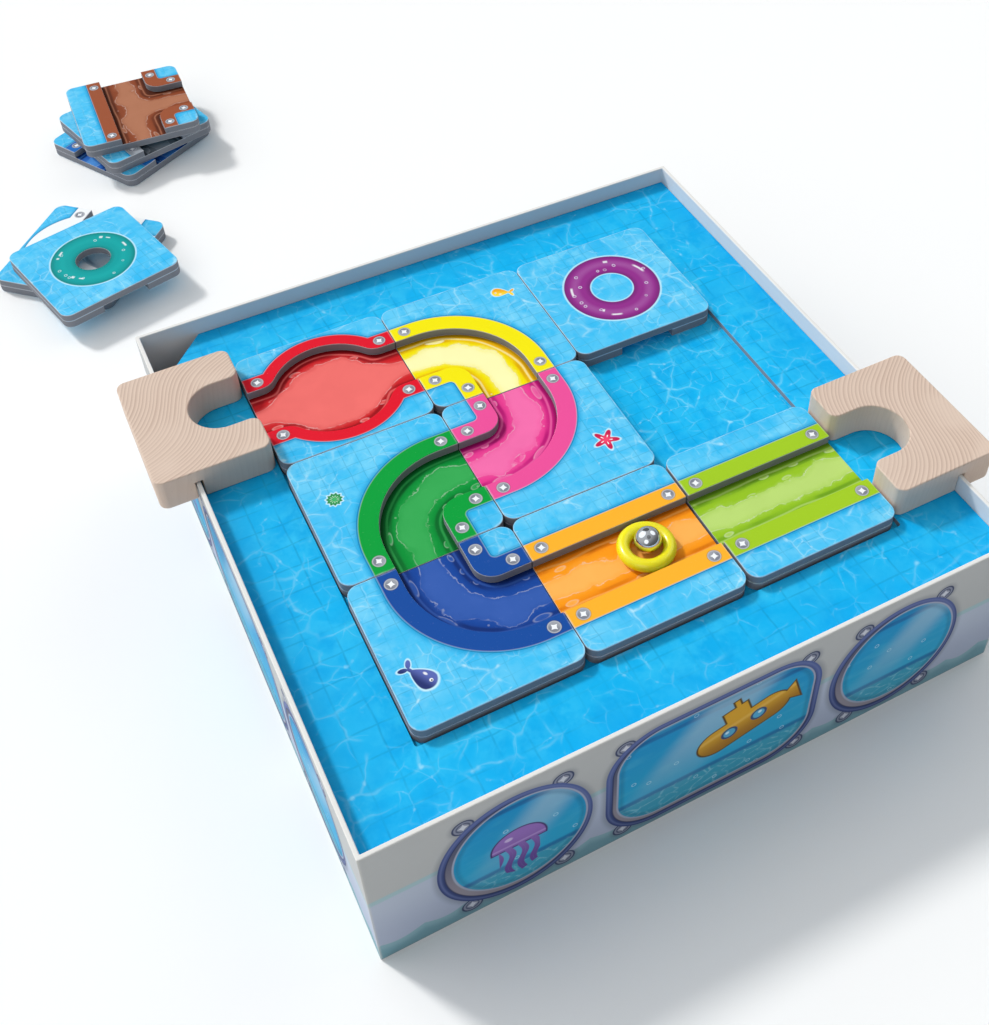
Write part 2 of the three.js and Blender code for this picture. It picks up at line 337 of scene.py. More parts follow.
def fish(net, u, v, turn, size, hue, dark):
    """A plain printed fish: a drop-shaped body, a forked tail, an eye dot and a white edge."""
    c, s = math.cos(math.radians(turn)), math.sin(math.radians(turn))
    x, y = (u * c + v * s) / size, (v * c - u * s) / size
    taper = 1.0 + net.low(net.high(x, -1.6), 1.0) * 0.30
    body = net.length(x / 1.55, y / taper) - 1.0
    lobe = net.length((x + 2.0 + abs(y) * 0.5) / 0.8, (abs(y) - 0.46) * 0.9) - 0.40
    tail = net.low(lobe, net.high(abs(y) - 0.20, abs(x + 1.5) - 0.5))
    shape = net.low(body, tail)
    mask = net.inside(shape, 0.06)
    halo = net.inside(shape - 0.16, 0.10)
    shade = net.mix(net.ramp(y, -0.7, 0.6), dark, hue)
    shade = net.mix(net.inside(net.length(x - 0.85, y - 0.2) - 0.2, 0.05), shade, lin("ffffff"))
    shade = net.mix(net.inside(net.length(x - 0.9, y - 0.2) - 0.1, 0.04), shade, lin("1c2436"))
    shine = net.inside(net.length((x + 0.1) / 1.8, y - 0.5) - 0.14, 0.06)
    shade = net.mix(shine * 0.8, shade, lin("ffffff"))
    return mask, halo, shade


def star(net, u, v, turn, size, hue, dark, arms=5, body=0.55, reach=0.75):
    """A plain printed starfish or urchin, from a radius that swells along its arms."""
    r = net.length(u, v) / size
    angle = net.math("ARCTAN2", v, u)
    wave = net.math("COSINE", (angle + turn) * arms * 0.5)
    swell = net.power(wave * wave, 1.3)
    shape = r - (body + reach * swell)
    mask = net.inside(shape, 0.06)
    halo = net.inside(shape - 0.20, 0.12)
    shade = net.mix(net.ramp(r, 0.1, body + 0.4), hue, dark)
    dots = net.inside(net.length(r - 0.45, (swell - 0.97) * 3.0) - 0.16, 0.06)
    return mask, halo, net.mix(dots, shade, lin("ffffff"))


def stamp(net, colour, drawing):
    """The drawing on the colour, inside its pale edge."""
    mask, halo, shade = drawing
    colour = net.mix(halo * 0.75, colour, lin("dff8ff"))
    return net.mix(mask, colour, shade)


def swim_ring_print(net, u, v, colour, hue, light, dark, inner, belt, gleams):
    """A printed swim ring, shaded like a tube, with drops on it and a wet white edge."""
    outer = 18.4
    r = net.length(u, v)
    angle = net.math("ARCTAN2", v, u)
    tube = abs(r - (outer + inner) / 2) / ((outer - inner) / 2)
    wet = abs(r - (18.6 + inner) / 2) - (19.6 - inner) / 2
    colour = net.mix(net.inside(wet, 0.3) * 0.7, colour, lin("cdeffb"))
    shade = net.mix(net.ramp(tube, 0.5, 1.0) * 0.5, hue, dark)
    shade = net.mix(net.ramp(abs(r - inner - 5.8), 2.6, 0.0) * 0.30, shade, light)
    drops = net.cells(net.warp(net.join(u, v), 5.0, 0.5, 2.0), 4.4, "F1")
    near = Val(net, drops.outputs["Distance"])
    pick = net.math("FRACT", net.split(drops.outputs["Color"])[0] * 7.3)
    size = 0.07 + pick * 0.07
    drop_x, drop_y, _ = net.split(drops.outputs["Position"])
    in_belt = net.inside(abs(net.length(drop_x, drop_y) - belt[0]) - belt[1], 0.1)
    on = net.inside(0.55 - pick, 0.02) * in_belt
    shade = net.mix(net.inside(near - size, 0.02) * on * 0.35, shade, light)
    shade = net.mix(net.line(near - size, 0.05, 0.03) * on * 0.8, shade, lin("e9f3fb"))
    for at, reach, width, radius in gleams:
        along = net.ramp(abs(angle - at), reach, reach * 0.5)
        arc = along * net.ramp(abs(r - radius), width * 1.7, width * 0.4)
        shade = net.mix(arc * 0.80, shade, lin("f4f7fb"))
    return net.mix(net.inside(tube - 1.0, 0.03), colour, shade)


# ---------------------------------------------------------------- tile materials
# Every tile: place of its middle, height of its underside, turn of its drawing, kind,
# band colour, floor colour, stream colour, dark floor colour.
TILES = {
    "red_pond": (-PITCH, PITCH, FIELD_Z, 0, "pond", "e4142c", "cf1f26", "ee6f6b", "a3101a"),
    "yellow_bend": (0, PITCH, FIELD_Z, 0, "bend", "f8ea08", "f5e400", "fdf8b4", "f2b400"),
    "purple_swim": (PITCH, PITCH, FIELD_Z, 0, "swim", "2fb9ef", "2fb9ef", "6fd0f8", "2fb9ef"),
    "green_bend": (-PITCH, 0, FIELD_Z, 90, "bend", "00a03c", "009238", "35a954", "00702c"),
    "pink_bend": (0, 0, FIELD_Z, 270, "bend", "ef529c", "ea3d92", "f26dab", "c4107a"),
    "blue_bend": (-PITCH, -PITCH, FIELD_Z, 180, "bend", "154da0", "15469c", "345cae", "12327c"),
    "orange_straight": (0, -PITCH, FIELD_Z, 0, "straight", "ffb52e", "fb9a16", "ffb356", "ea7c06"),
    "lime_straight": (PITCH + 0.6, -PITCH, FIELD_Z, 0, "straight",
                      "a3cc26", "96c425", "b9d873", "76ab20"),
    "navy_bend": (-71.2, 330.6, 0, 30, "bend", "1d6fc2", "2a66b8", "4f8fd2", "1b4a94"),
    "grey_straight": (-68, 330.9, LEVEL, 105.5, "straight",
                      "9aa0a8", "6c7178", "8c9198", "4c5058"),
    "brown_junction": (-67.2, 333, 2 * LEVEL, -2.6, "junction",
                       "9d5334", "8c4527", "b07457", "642d18"),
    "white_bend": (-115.2, 247, 0, 137.5, "basin",
                   "f6f8fa", "eef2f5", "ffffff", "c9d2da"),
    "teal_swim": (-112.4, 229.5, LEVEL, 14.5, "swim", "2fb9ef", "2fb9ef", "6fd0f8", "2fb9ef"),
}


def corner_water(net, a, b):
    """Distance outside the small water square of an inner corner piece."""
    reach = NOTCH - NOTCH_CORNER
    return net.length(net.high(a - reach, 0.0), net.high(b - reach, 0.0)) - NOTCH_CORNER


def bend_radius(net, a, b):
    """Distance from the centre of a bend's arcs, run on straight beyond its ends."""
    return net.length(net.high(a - BEND, 0.0), net.high(b - BEND, 0.0))


def rail_shapes(net, u, v, kind):
    """Signed distance of the coloured band's outside edge, and the nearest screw's offset."""
    if kind in ("straight", "pond"):
        shore = abs(v) - BAND
        if kind == "pond":
            shore = net.low(shore, net.length(u, v) - POND_BAND)
        return shore, abs(u) - SCREW_ALONG, abs(v) - SCREW_IN
    if kind in ("bend", "basin"):
        a, b = u + HALF, v + HALF
        if kind == "bend":
            shore = bend_radius(net, a, b) - BEND_OUT
        else:
            # a bend whose band swells round the middle, as the pond's does
            arms = net.low(net.high(abs(v) - BAND, u), net.high(abs(u) - BAND, v))
            shore = net.low(arms, net.length(u, v) - POND_BAND)
        shore = net.high(shore, -corner_water(net, a, b))
        near, far = net.low(a, b), net.high(a, b)
        on_outer = net.math("GREATER_THAN", far, 28.0)
        return shore, near - SCREW_END, far - (SCREW_NEAR + on_outer * SCREW_STEP)
    # a junction: one straight rail on the left, a corner piece at each right corner
    a, b = HALF - u, HALF - abs(v)
    near, far = net.low(a, b), net.high(a, b)
    left = net.math("LESS_THAN", u, 0.0)
    shore = net.high((-u - BAND) + (left - 1.0) * FAR, -corner_water(net, a, b) - left * FAR)
    dx = (u + SCREW_IN) * left + (near - SCREW_END) * (1.0 - left)
    dy = (abs(v) - SCREW_ALONG) * left + (far - SCREW_NEAR) * (1.0 - left)
    return shore, dx, dy


def painted_edge_highlight(net, p, u, v, colour):
    """Painted highlight: the print turned paler, in patches, along a tile's outer edge."""
    inset = 23.9
    q = net.length(net.high(abs(u) - inset, 0.0), net.high(abs(v) - inset, 0.0))
    patchy = 0.25 + 0.6 * net.ramp(net.rand(p, 3.0, 3.0, 0.7, 3.0), 0.35, 0.65)
    return net.mix(net.ramp(q, 3.55, 4.15) * patchy * 0.36, colour, lin("e4edf2"))


def rail_top(name, seed):
    """The print on a tile's rails: water, the coloured band, a screw at each end."""
    x, y, z, turn, kind, band_code, *_ = TILES[name]
    band = lin(band_code)
    net = Net(name + "_rail_print")
    p = net.place(x, y, z, turn)
    u, v, _ = net.split(p)
    flat = net.place(x, y, z, 0)
    blue = water(net, flat, *TILE_WATER, seed=seed)
    shore, dx, dy = rail_shapes(net, u, v, kind)
    blue = net.mix(net.ramp(shore, 2.6, 0.0) * 0.75, blue, lin("0297d2"))
    tone = net.mix(net.rand(p, 17.0, 2.0, 0.5, seed) * 0.22, band, tint(band, 0.86))
    speck = net.ramp(net.rand(p, 0.7, 2.0, 0.7, seed), 0.62, 0.78)
    tone = net.mix(speck * 0.04, tone, lin("ffffff"))
    colour = net.mix(net.inside(shore, 0.10), blue, tone)
    colour = net.mix(net.line(shore - 0.35, 0.30) * 0.5, colour, lin("0d3a66"))
    colour = net.mix(net.line(shore + 0.12, 0.30) * 0.6, colour, tint(band, 0.5, 0.30))
    colour = screw(net, dx, dy, 0.45, colour, band)
    if name in CRITTERS:
        cx, cy, make = CRITTERS[name]
        fu, fv, _ = net.split(flat)
        colour = stamp(net, colour, make(net, fu - cx, fv - cy))
    return net.printed(painted_edge_highlight(net, p, u, v, colour), p, 0.40, 6.0, 0.14)


# Printed creatures: their place from a tile's middle, and their drawing.
CRITTERS = {
    "yellow_bend": (17.5, 17.5, lambda net, u, v: fish(
        net, u, v, 155, 2.0, lin("ffd93b"), lin("f3a81c"))),
    "pink_bend": (17.0, -11.5, lambda net, u, v: star(
        net, u, v, 0.4, 3.6, lin("f4486f"), lin("c81f4f"))),
    "green_bend": (-17.8, 7.0, lambda net, u, v: star(
        net, u, v, 0.1, 2.7, lin("45b56a"), lin("17713b"), 11, 0.82, 0.20)),
    "blue_bend": (-18.5, -12.0, lambda net, u, v: fish(
        net, u, v, -58, 2.9, lin("5b6ab4"), lin("27336f"))),
}


def channel(net, u, v, kind):
    """Offset across a channel, and the run along it."""
    if kind in ("bend", "basin"):
        a, b = u + HALF, v + HALF
        across = bend_radius(net, a, b) - MID
        return across, net.math("ARCTAN2", b - BEND + 0.001, a - BEND + 0.001) * 20.0
    if kind == "junction":
        # the branch meets the straight run in two soft corners
        corner = 12.5
        far = net.length(net.high(corner - u, 0.0), net.high(corner - abs(v), 0.0))
        across = net.low(abs(u), net.high(abs(v), -u))
        outside = FAR * net.math("GREATER_THAN", far, corner)
        return net.low(across, net.high(corner - far, 0.0) + outside), u + v
    return v, u


def floor_print(name, seed):
    """The printed stream on a channel's floor."""
    x, y, z, turn, kind, _, base, stream, deep = TILES[name]
    base, stream, deep = lin(base), lin(stream), lin(deep)
    pale = tint(stream, 0.62, 0.26)
    net = Net(name + "_floor_print")
    p = net.place(x, y, z, turn)
    u, v, _ = net.split(p)
    loose = net.ramp(HALF - net.high(abs(u), abs(v)), 0.0, 9.0)
    across, along = channel(net, u, v, kind)
    wall = CHANNEL - abs(across)
    half = 3.5 + loose * 1.1
    if kind == "pond":
        wall = net.math("SMOOTH_MAX", wall, POND - net.length(u, v))
        wall.socket.node.inputs[2].default_value = 4.0
        half = half + 10.4 * net.ramp(abs(u), 24.5, 6.0)
        loose = net.ramp(HALF - abs(u), 0.0, 14.0) * 0.8
    bend_a = net.rand(p, 12.0, 1.0, 0.5, seed + 11.0) - 0.5
    bend_b = net.rand(p, 3.4, 3.0, 0.6, seed + 12.0) - 0.5
    flow = abs(across + bend_a * loose * 6.0)
    if kind == "pond":
        shore = net.low(flow - half, net.length(u * 0.90, v) - 16.6)
        ragged = bend_b * 3.6 + bend_a * 5.0
    else:
        shore = flow - half
        ragged = bend_b * 4.2 + bend_a * 4.0
    shore = shore + ragged * (loose * 0.85 + 0.15)
    # darker towards the walls in the print, with a broken pale lip along them, and painted shade
    # at their foot
    drift = (net.rand(p, 15.0, 1.0, 0.5, seed + 15.0) - 0.5) * loose
    lip = wall + drift * 2.4
    under_lip = net.ramp(abs(lip - 3.3), 1.0, 0.15) * net.ramp(drift, -0.10, 0.06)
    colour = net.mix(net.ramp(wall, 5.4, 1.4) * 0.95, base, deep)
    colour = net.mix(under_lip * 0.8, colour, tint(deep, 0.80))
    colour = net.mix(net.ramp(abs(lip - 2.1), 0.65, 0.1) * 0.65, colour, stream)
    # painted shade: a dark strip at the foot of the walls
    colour = net.mix(net.ramp(wall, 1.7, 0.5) * 0.75, colour, tint(deep, 0.42))
    # the stream down the middle
    patch = net.ramp(net.rand(p, 9.0, 2.0, 0.5, seed + 13.0), 0.35, 0.7)
    body = net.mix(patch * 0.30, stream, tint(stream, 1.10, 0.012))
    body = net.mix(net.ramp(shore, -2.2, 0.0) * 0.25, body, base)
    colour = net.mix(net.ramp(shore, 1.6, 0.0) * 0.20, colour, stream)
    colour = net.mix(net.inside(shore, 0.15), colour, body)
    broken = net.ramp(net.rand(p, 4.4, 1.0, 0.5, seed + 14.0), 0.38, 0.58)
    colour = net.mix(net.line(shore, 0.34, 0.14) * (broken * 0.75 + 0.08), colour, pale)
    # loose blobs between the stream and the walls, drawn out along the flow
    drawn_out = net.warp(net.join(across * 1.25, along * 0.60), 4.0, 0.5, seed)
    blobs = net.cells(drawn_out, 6.4, "F1")
    near = Val(net, blobs.outputs["Distance"])
    pick = net.math("FRACT", net.split(blobs.outputs["Color"])[1] * 5.7 + seed * 0.37)
    on = net.ramp(pick, 0.44, 0.48) * net.ramp(shore, 0.3, 1.0) * net.ramp(wall, 2.2, 2.8)
    size = 0.06 + pick * 0.17
    colour = net.mix(net.inside(near - size, 0.025) * on * 0.8, colour, stream)
    colour = net.mix(net.ramp(near, 0.12, 0.0) * on * 0.4, colour, base)
    colour = net.mix(net.line(near - size, 0.05, 0.03) * on * 0.65, colour, pale)
    specks = net.cells(p, 3.4, "F1")
    dot = net.inside(Val(net, specks.outputs["Distance"]) - 0.11, 0.04)
    chance = net.ramp(net.split(specks.outputs["Color"])[0], 0.84, 0.88)
    shown = dot * chance * net.ramp(wall, 2.6, 3.4) * net.ramp(shore, -1.4, -0.6)
    colour = net.mix(shown * 0.55, colour, pale)
    worn = net.ramp(net.rand(p, 1.1, 3.0, 0.7, seed), 0.62, 0.82)
    colour = net.mix(worn * 0.05, colour, lin("ffffff"))
    return net.printed(colour, p, 0.36, 5.0, 0.16)


# The shine on each swim ring: direction, half length (both in radians), half width and radius.
PURPLE_GLEAMS = ((0.35, 0.225, 0.42, 15.6), (2.85, 0.18, 0.42, 15.6), (-1.95, 0.165, 0.38, 15.4),
                 (1.25, 0.075, 0.55, 15.2), (-2.3, 0.038, 0.6, 13.6))
TEAL_GLEAMS = ((0.86, 0.065, 0.62, 15.2), (0.64, 0.085, 0.30, 15.2), (0.0, 0.14, 0.42, 15.5),
               (2.20, 0.11, 0.40, 15.8), (2.42, 0.045, 0.50, 15.8), (-2.72, 0.07, 0.60, 14.0),
               (-2.43, 0.10, 0.32, 13.8))


def swim_face(name, seed):
    """The plain side of a swim tile: water with a swim ring on it."""
    x, y, z, turn, *_ = TILES[name]
    net = Net(name + "_print")
    p = net.place(x, y, z, turn)
    u, v, _ = net.split(p)
    colour = water(net, p, *TILE_WATER, seed=seed)
    if name == "purple_swim":
        colour = swim_ring_print(net, u - 0.3, v, colour, lin("93308c"), lin("b878ba"),
                                 lin("5c1c60"), 8.4, (13.8, 3.3), PURPLE_GLEAMS)
    else:
        colour = swim_ring_print(net, u, v, colour, lin("009f9f"), lin("14b4b2"),
                                 lin("026a66"), 7.6, (14.6, 1.9), TEAL_GLEAMS)
    return net.printed(painted_edge_highlight(net, p, u, v, colour), p, 0.40, 6.0, 0.14)


def board_edge(name, low, seams, tone="888b93"):
    """The bare die-cut edge of grey board: fibre streaks, a pale glue line, paper skins."""
    net = Net(name)
    p = net.place(0, 0, low, 0)
    x, y, z = net.split(p)
    streak = net.rand(net.join(x, y, z * 7.0), 1.6, 4.0, 0.7, 1.0)
    broad = net.rand(p, 7.0, 2.0, 0.5, 4.0)
    grey = lin(tone)
    colour = net.mix(streak * 0.6, tint(grey, 0.80), tint(grey, 1.25))
    colour = net.mix(broad * 0.30, colour, tint(grey, 1.2))
    for height, width, amount in seams:
        seam = net.ramp(abs(z - height), width, width * 0.3)
        colour = net.mix(seam * amount, colour, lin("d9dce2"))
    height = streak + net.rand(p, 0.45, 3.0, 0.7, 8.0) * 0.7
    return net.finish(colour, 0.86, net.bump(height, 0.08, 0.7), Specular_IOR_Level=0.15)


# ---------------------------------------------------------------- box and insert materials
def pool_print(name, cell, strength, grid, seed):
    """The pool's water on an insert board, deeper in tone towards the box walls."""
    net = Net(name)
    p = net.place()
    colour = water(net, p, *POOL_WATER, cell, strength, grid, seed, 0.72)
    x, y, _ = net.split(p)
    deep = net.ramp(net.high(abs(x), abs(y)), 84.0, WALL_OUT - 0.5)
    return net.printed(net.mix(deep * 0.35, colour, lin("0492cf")), p, 0.38, 8.0, 0.16)


def white_paper(name, tone, cool):
    """Plain covering paper, blotched and scuffed a little."""
    net = Net(name)
    p = net.place()
    blotch = net.rand(p, 26.0, 3.0, 0.55, 3.0)
    colour = net.mix(blotch * 0.5, lin(tone), lin(cool))
    scuff = net.ramp(net.rand(p, 2.2, 4.0, 0.75, 9.0), 0.66, 0.82)
    colour = net.mix(scuff * 0.10, colour, lin("9aa3b0"))
    return net.finish(colour, 0.52 + blotch * 0.1, paper(net, p, 0.02, 0.6),
                      Specular_IOR_Level=0.15)


def window_edge(net, side, up):
    """Distance outside the windows: an oval one at each side, a long one in the middle."""
    oval = (net.length((side - WINDOW_X) / OVAL_WIDE, up / WINDOW_TALL) - 1.0) * 25.0
    past = net.high(side - (LONG_WIDE - LONG_CORNER), 0.0)
    above = net.high(abs(up) - (WINDOW_TALL - LONG_CORNER), 0.0)
    return net.low(oval, net.length(past, above) - LONG_CORNER)


def wall_bands(net, t, z, mottle):
    """The wall behind the windows: a grey band, a blue one and a wavy foot."""
    wavy = net.rand(net.join(t, z), 30.0, 2.0, 0.5, 5.0)
    colour = net.mix(wavy * 0.5, lin("c2c4c4"), lin("b5b9ba"))
    colour = net.mix(mottle * 0.10, colour, lin("9c9c9c"))
    lower = net.mix(net.ramp(z, 34.0, 14.0), lin("bcc6d8"), lin("b2bcd2"))
    colour = net.mix(net.ramp(z, 36.9, 36.3), colour, lower)
    border = net.inside(abs(z - 35.4 - wavy * 1.2) - 1.2, 0.5)
    colour = net.mix(border * 0.85, colour, lin("a3c5cb"))
    rise = (net.rand(net.join(t, 0.0), 26.0, 1.0, 0.5, 2.0) - 0.5) * 9.0
    swell = 9.6 + rise - abs(net.sin(t * 0.23 + 0.5)) * 2.0
    colour = net.mix(net.inside(z - swell, 0.2), colour, lin("8fb6c1"))
    return net.mix(net.inside(z - swell + 2.6, 2.2) * 0.7, colour, lin("6d9dac"))


def window_frames(net, t, z, colour, frame, pane, in_middle):
    """Round-headed lugs, the blue frame and the grey bevel between frame and glass."""
    side = abs(t)
    oval_lug = abs(side - WINDOW_X) - 15.4
    lug_x = oval_lug + (side - 31.8 - oval_lug) * in_middle
    lug_z = abs(z - WINDOW_Z) - 23.8
    lug = net.length(lug_x, lug_z)
    shadow = net.ramp(net.low(frame, lug - 3.0), 2.6, 0.0)
    colour = net.mix(shadow * 0.40, colour, lin("5d6478"))
    colour = net.mix(net.inside(lug - 3.5, 0.15), colour, lin("3c4668"))
    colour = net.mix(net.inside(lug - 2.9, 0.15), colour, lin("8a90a4"))
    colour = net.mix(net.line(lug - 2.0, 0.5, 0.2), colour, lin("4c5573"))
    cross = net.power(abs(lug_x) + 0.0001, 0.62) + net.power(abs(lug_z) + 0.0001, 0.62)
    colour = net.mix(net.inside(cross - 1.55, 0.25), colour, lin("d3d7e2"))
    lit = net.ramp(z - side * 0.25, 2.0, 34.0)
    blue = net.mix(lit, lin("34437a"), lin("52629c"))
    colour = net.mix(net.inside(frame, 0.15), colour, blue)
    colour = net.mix(net.line(frame + 1.0, 0.7, 0.4) * 0.55, colour, lin("7180b4"))
    bevel = net.mix(net.ramp(z, 14.0, 46.0), lin("97919c"), lin("555a74"))
    colour = net.mix(net.inside(frame + 2.3, 0.2), colour, bevel)
    colour = net.mix(net.line(frame + 2.3, 0.5, 0.2) * 0.8, colour, lin("252f58"))
    return net.mix(net.line(pane + 3.4, 0.7, 0.25), colour, lin("a9b2c9"))


def sea_view(net, t, z, mottle):
    """What shows through the windows: water, a tiled bed, glare on the glass, bubbles."""
    view = net.mix(net.ramp(z, 8.0, 54.0), lin("2ab2dc"), lin("0c97d2"))
    ripple = net.rand(net.join(t * 0.3, z), 4.0, 2.0, 0.5, 3.0)
    view = net.mix(net.ramp(ripple, 0.45, 0.7) * 0.25, view, lin("55c3e2"))
    stripe = net.inside(abs(z - 51.0 + t * 0.01) - 1.1, 0.6)
    view = net.mix(stripe * 0.75, view, lin("0c62a6"))
    view = net.mix(net.inside(abs(z - 54.2) - 0.6, 0.6) * 0.4, view, lin("7fd2ea"))
    stones = net.cells(net.warp(net.join(t * 0.55, z), 5.0, 1.6), 3.4)
    gaps = net.ramp(Val(net, stones.outputs["Distance"]), 0.14, 0.0)
    sand = net.mix(gaps * net.ramp(mottle, 0.40, 0.6) * 0.7, lin("3fa3c0"), lin("9ad9e2"))
    view = net.mix(net.ramp(z, 19.2, 18.2) * 0.8, view, sand)
    view = net.mix(net.inside(abs(z - 19.0) - 1.2, 0.8) * 0.75, view, lin("1560a5"))
    glare = None
    for middle, half in ((-89.0, 8.5), (-32.0, 13.0), (45.0, 8.5)):
        slanted = net.inside(abs(t - z * 0.75 - middle) - half, 6.0)
        glare = slanted if glare is None else net.high(glare, slanted)
    view = net.mix(glare * net.ramp(z, 8.0, 50.0) * 0.62, view, lin("a9cfe2"))
    bubble = net.cells(net.join(t, z), 8.5, "F1")
    near = Val(net, bubble.outputs["Distance"])
    on = net.ramp(net.split(bubble.outputs["Color"])[2], 0.70, 0.72)
    return net.mix(net.line(near - 0.085, 0.03, 0.012) * on * 0.8, view, lin("bfe8f6"))


def wall_print(name, turn, creature, vessel):
    """One outer wall: bands of colour and three windows on a view under water."""
    net = Net(name)
    t, _, z = net.split(net.place(turn=turn))
    p = net.join(t, z)
    mottle = net.rand(p, 3.0, 4.0, 0.7, 12.0)
    frame = window_edge(net, abs(t), z - WINDOW_Z)
    in_middle = net.math("LESS_THAN", abs(t), BETWEEN)
    # the glass lies deeper than the frame, so it shows a little to the upper right
    pane = window_edge(net, abs(t - (1.45 - in_middle * 0.85)), z - (WINDOW_Z + 0.6))
    colour = wall_bands(net, t, z, mottle)
    colour = window_frames(net, t, z, colour, frame, pane, in_middle)
    view = sea_view(net, t, z, mottle)
    if vessel:
        view = submarine(net, view, t - 11.0, z - 34.5)
    if creature:
        view = jellyfish(net, view, t + 66.5, z - 28.0)
    colour = net.mix(net.inside(pane + 3.7, 0.15), colour, view)
    colour = net.mix(net.line(pane + 4.7, 1.6, 0.9) * 0.30, colour, lin("0b4674"))
    # rubbed pale along the wall's edges
    worn = net.ramp(z, 62.3, 62.8) * 0.4 + net.ramp(z, 0.9, 0.2) * 0.4
    worn = net.high(worn, net.ramp(abs(t), WALL_OUT - 1.0, WALL_OUT - 0.1) * 0.45)
    colour = net.mix(worn, colour, lin("e8e6e0"))
    rough = 0.46 + net.rand(p, 9.0, 3.0, 0.6, 1.0) * 0.12
    return net.finish(colour, rough, paper(net, net.place(), 0.02, 0.6), Specular_IOR_Level=0.12)


def submarine(net, view, t, z):
    """A plain toy submersible: a capsule hull, a tower with a pipe, two round ports."""
    c, s = math.cos(math.radians(17)), math.sin(math.radians(17))
    x, y = t * c + z * s, z * c - t * s
    hull = net.length(net.high(abs(x + 1.0) - 9.5, 0.0), y * 1.12) - 7.2
    tower = net.high(abs(x + 1.5) - 3.4, abs(y - 8.4) - 3.2) - 0.8
    pipe = net.high(abs(x + 0.2) - 0.8, abs(y - 13.2) - 2.6)
    fin = net.high(abs(y) - (x - 12.0) * 0.75, x - 18.8)
    shape = net.low(net.low(hull, tower), net.low(pipe, fin))
    paint = net.mix(net.ramp(y, -6.0, 6.0), lin("a9741a"), lin("e2aa2c"))
    paint = net.mix(net.ramp(abs(y - 3.4), 1.6, 0.0) * 0.5, paint, lin("f3cb62"))
    view = net.mix(net.inside(shape - 0.7, 0.25), view, lin("5c4416"))
    view = net.mix(net.inside(shape, 0.2), view, paint)
    ports = net.length(abs(x + 1.0) - 5.4, y - 0.4)
    view = net.mix(net.inside(ports - 3.0, 0.2), view, lin("35517c"))
    view = net.mix(net.inside(ports - 2.1, 0.2), view, lin("58b3dc"))
    glint = net.length(abs(x + 1.0) - 6.0, y - 1.1)
    return net.mix(net.inside(glint - 0.7, 0.2), view, lin("d6f1fb"))


def jellyfish(net, view, t, z):
    """A plain jellyfish: a dome with four wavy ribbons."""
    dome = net.high(net.length(t / 1.05, z - 2.0) - 8.2, -z + 1.0)
    sway = net.sin(z * 0.45) * 0.9
    strip = abs(net.math("PINGPONG", t + sway + 40.0, 2.05) - 0.55) - 0.62
    ribbons = net.high(net.high(strip, abs(t) - 6.6), net.high(z - 1.6, -z - 15.5 + abs(t) * 0.5))
    shape = net.low(dome, ribbons)
    hue = net.mix(net.ramp(z, -12.0, 9.0), lin("6b4a9c"), lin("9c74c4"))
    view = net.mix(net.inside(dome - 0.6, 0.25), view, lin("46306f"))
    view = net.mix(net.inside(shape, 0.2), view, hue)
    hem = net.line(z - 2.4, 0.9, 0.3) * net.inside(dome, 0.2)
    view = net.mix(hem * 0.6, view, lin("c3a6de"))
    glint = net.length(t + 3.2, (z - 6.2) * 1.4)
    return net.mix(net.inside(glint - 1.3, 0.4) * 0.7, view, lin("e2d2f2"))


# ---------------------------------------------------------------- wood, steel, plastic
def beech(name, centre, heading, sway, seed):
    """Pale beech: growth rings cross the top in a slow S, the sides show plain grain."""
    net = Net(name)
    p = net.place(centre[0], centre[1], 0.0, heading)
    s, n, z = net.split(net.warp(p, 24.0, 1.4, seed))
    across = n - net.sin(s * (2 * math.pi / 58.0)) * sway + z * 0.05
    year = net.rand(net.join(across, s * 0.02, 0.0), 3.4, 2.0, 0.6, seed + 3.0)
    saw = net.math("FRACT", (across + year * 2.0 + 60.0) / 1.38)
    late = net.power(saw, 1.7) * net.ramp(saw, 1.0, 0.84)
    fine = net.rand(net.join(across, s * 0.06, z * 0.03), 0.40, 3.0, 0.7, seed + 2.0)
    late = late * (0.14 + 0.86 * net.ramp(z, BLOCK_TOP - 0.55, BLOCK_TOP - 0.05))
    colour = net.mix(late * (0.55 + year * 0.55), lin("dfc9b8"), lin("a37f6d"))
    colour = net.mix(fine * 0.28, colour, lin("c6a999"))
    flecks = net.cells(net.join(across * 2.4, s * 0.8, z * 0.5), 1.3, "F1", flat=False)
    fleck = net.ramp(Val(net, flecks.outputs["Distance"]), 0.20, 0.06)
    colour = net.mix(fleck * 0.22, colour, lin("a58471"))
    tone = net.rand(p, 22.0, 2.0, 0.5, seed + 4.0)
    colour = net.mix(tone * 0.35, colour, lin("e4d2c4"))
    rough = 0.56 + late * 0.10 + fine * 0.08
    height = fine * 0.6 - late * 0.5 - fleck * 0.6
    return net.finish(colour, rough, net.bump(height, 0.05, 0.7), Specular_IOR_Level=0.2)


def ball_steel():
    """Polished steel with a light haze and fine scratches along X."""
    net = Net("ball_polish")
    p = net.place()
    haze = net.rand(p, 1.4, 4.0, 0.7, 2.0)
    stretched = net.join(*[a * b for a, b in zip(net.split(p), (0.6, 6.0, 6.0))])
    scratch = net.ramp(net.rand(stretched, 0.6, 2.0, 0.6, 5.0), 0.60, 0.72)
    colour = net.mix(haze * 0.5, lin("dfe2e6"), lin("c2c6cc"))
    return net.finish(colour, 0.03 + haze * 0.05 + scratch * 0.05, net.bump(scratch, 0.004, 0.5),
                      Metallic=1.0)


